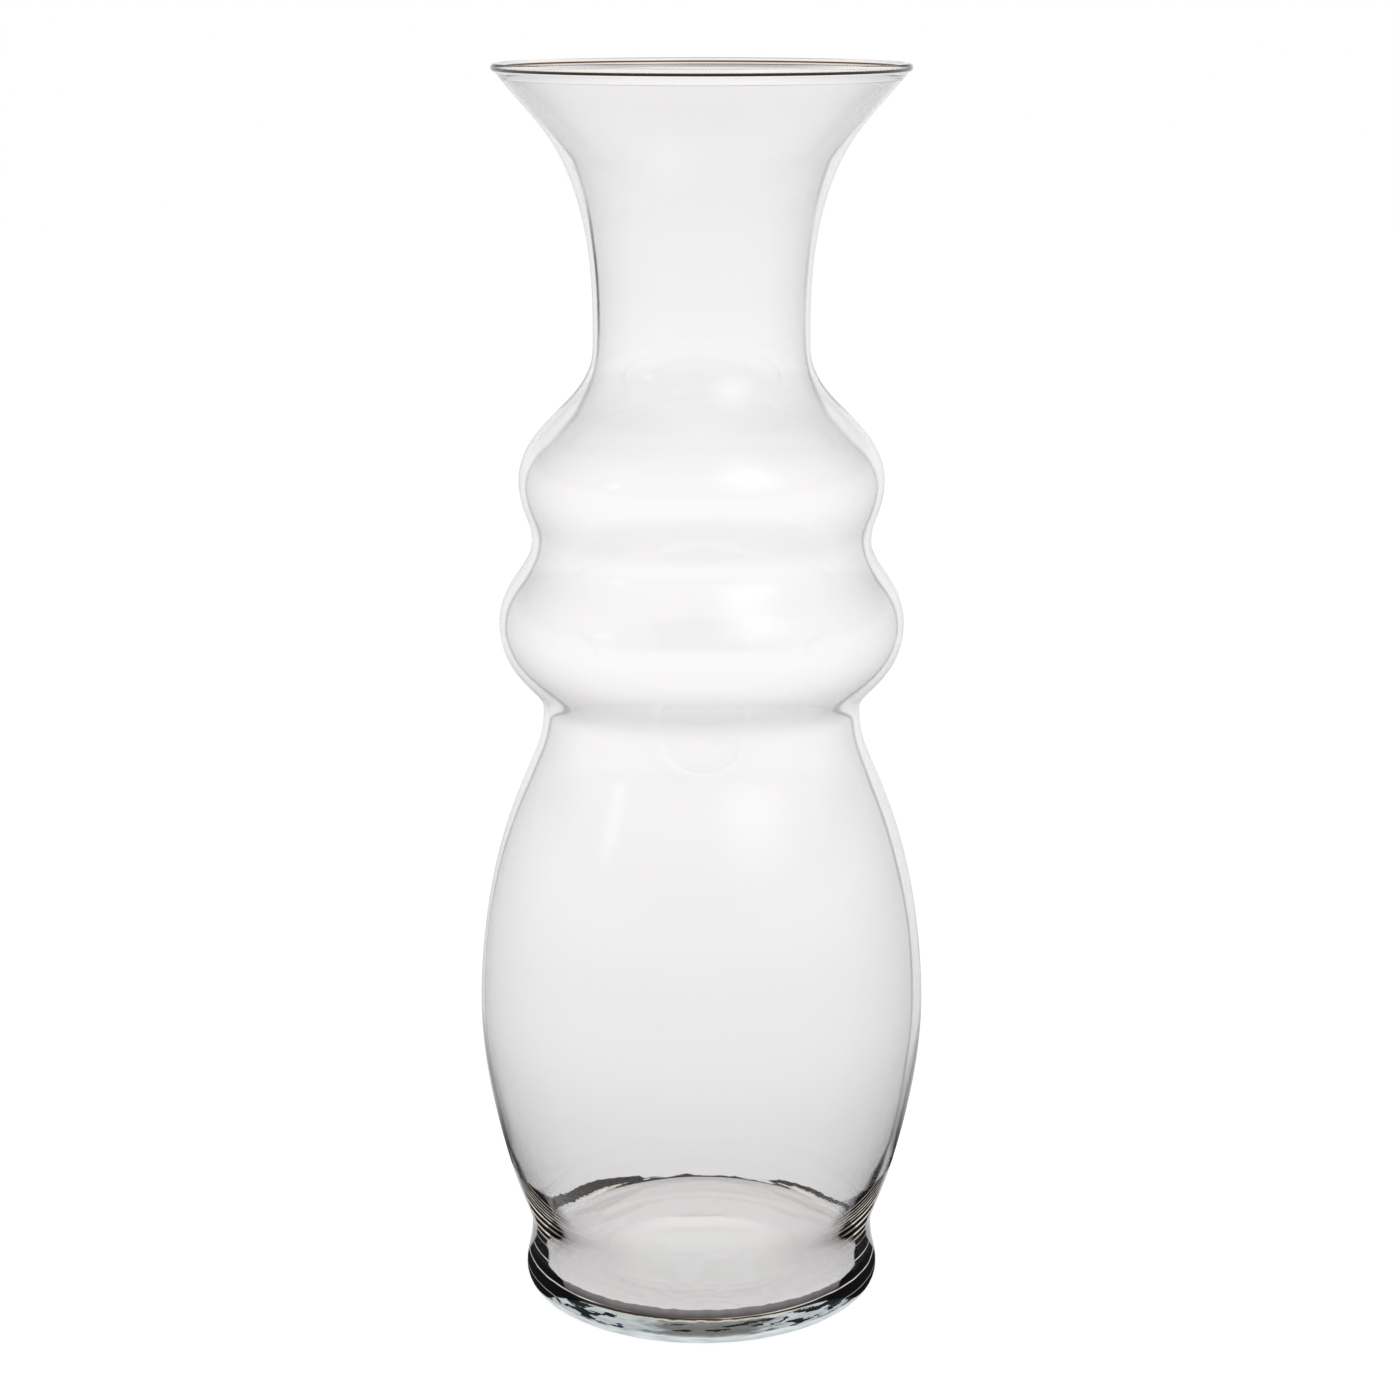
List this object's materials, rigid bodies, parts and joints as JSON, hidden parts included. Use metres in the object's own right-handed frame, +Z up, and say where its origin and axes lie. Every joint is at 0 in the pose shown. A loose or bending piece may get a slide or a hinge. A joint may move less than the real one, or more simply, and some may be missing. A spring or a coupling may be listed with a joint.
{
  "type": "flower vase",
  "caption": "Tall clear glass flower vase with a heavy round base, a long barrel, stacked bulbs, a slim neck and a trumpet mouth with a rounded lip.",
  "frame": {"origin": "centre of the base, on the plane that the vase stands on", "axes": "+Z up along the axis of the vase; X and Y are any two directions across it, because the vase is round"},
  "size_m": [0.1456, 0.1456, 0.4],
  "materials": {
    "clear_glass": "clear, fire polished",
    "clear_glass_thick": "clear, thick, faintly green, with rippled chill marks"
  },
  "bodies": {
    "root": {"base_slab": "clear_glass_thick", "foot_ring": "clear_glass_thick", "heel_ring": "clear_glass_thick", "barrel_lower": "clear_glass", "barrel_upper": "clear_glass", "barrel_shoulder": "clear_glass", "lower_bulb_cup": "clear_glass", "lower_bulb_crown": "clear_glass", "upper_bulb_cup": "clear_glass", "upper_bulb_crown": "clear_glass", "neck_slope": "clear_glass", "neck": "clear_glass", "neck_flare": "clear_glass", "trumpet_mouth": "clear_glass", "lip_bead": "clear_glass"}
  },
  "joints": []
}
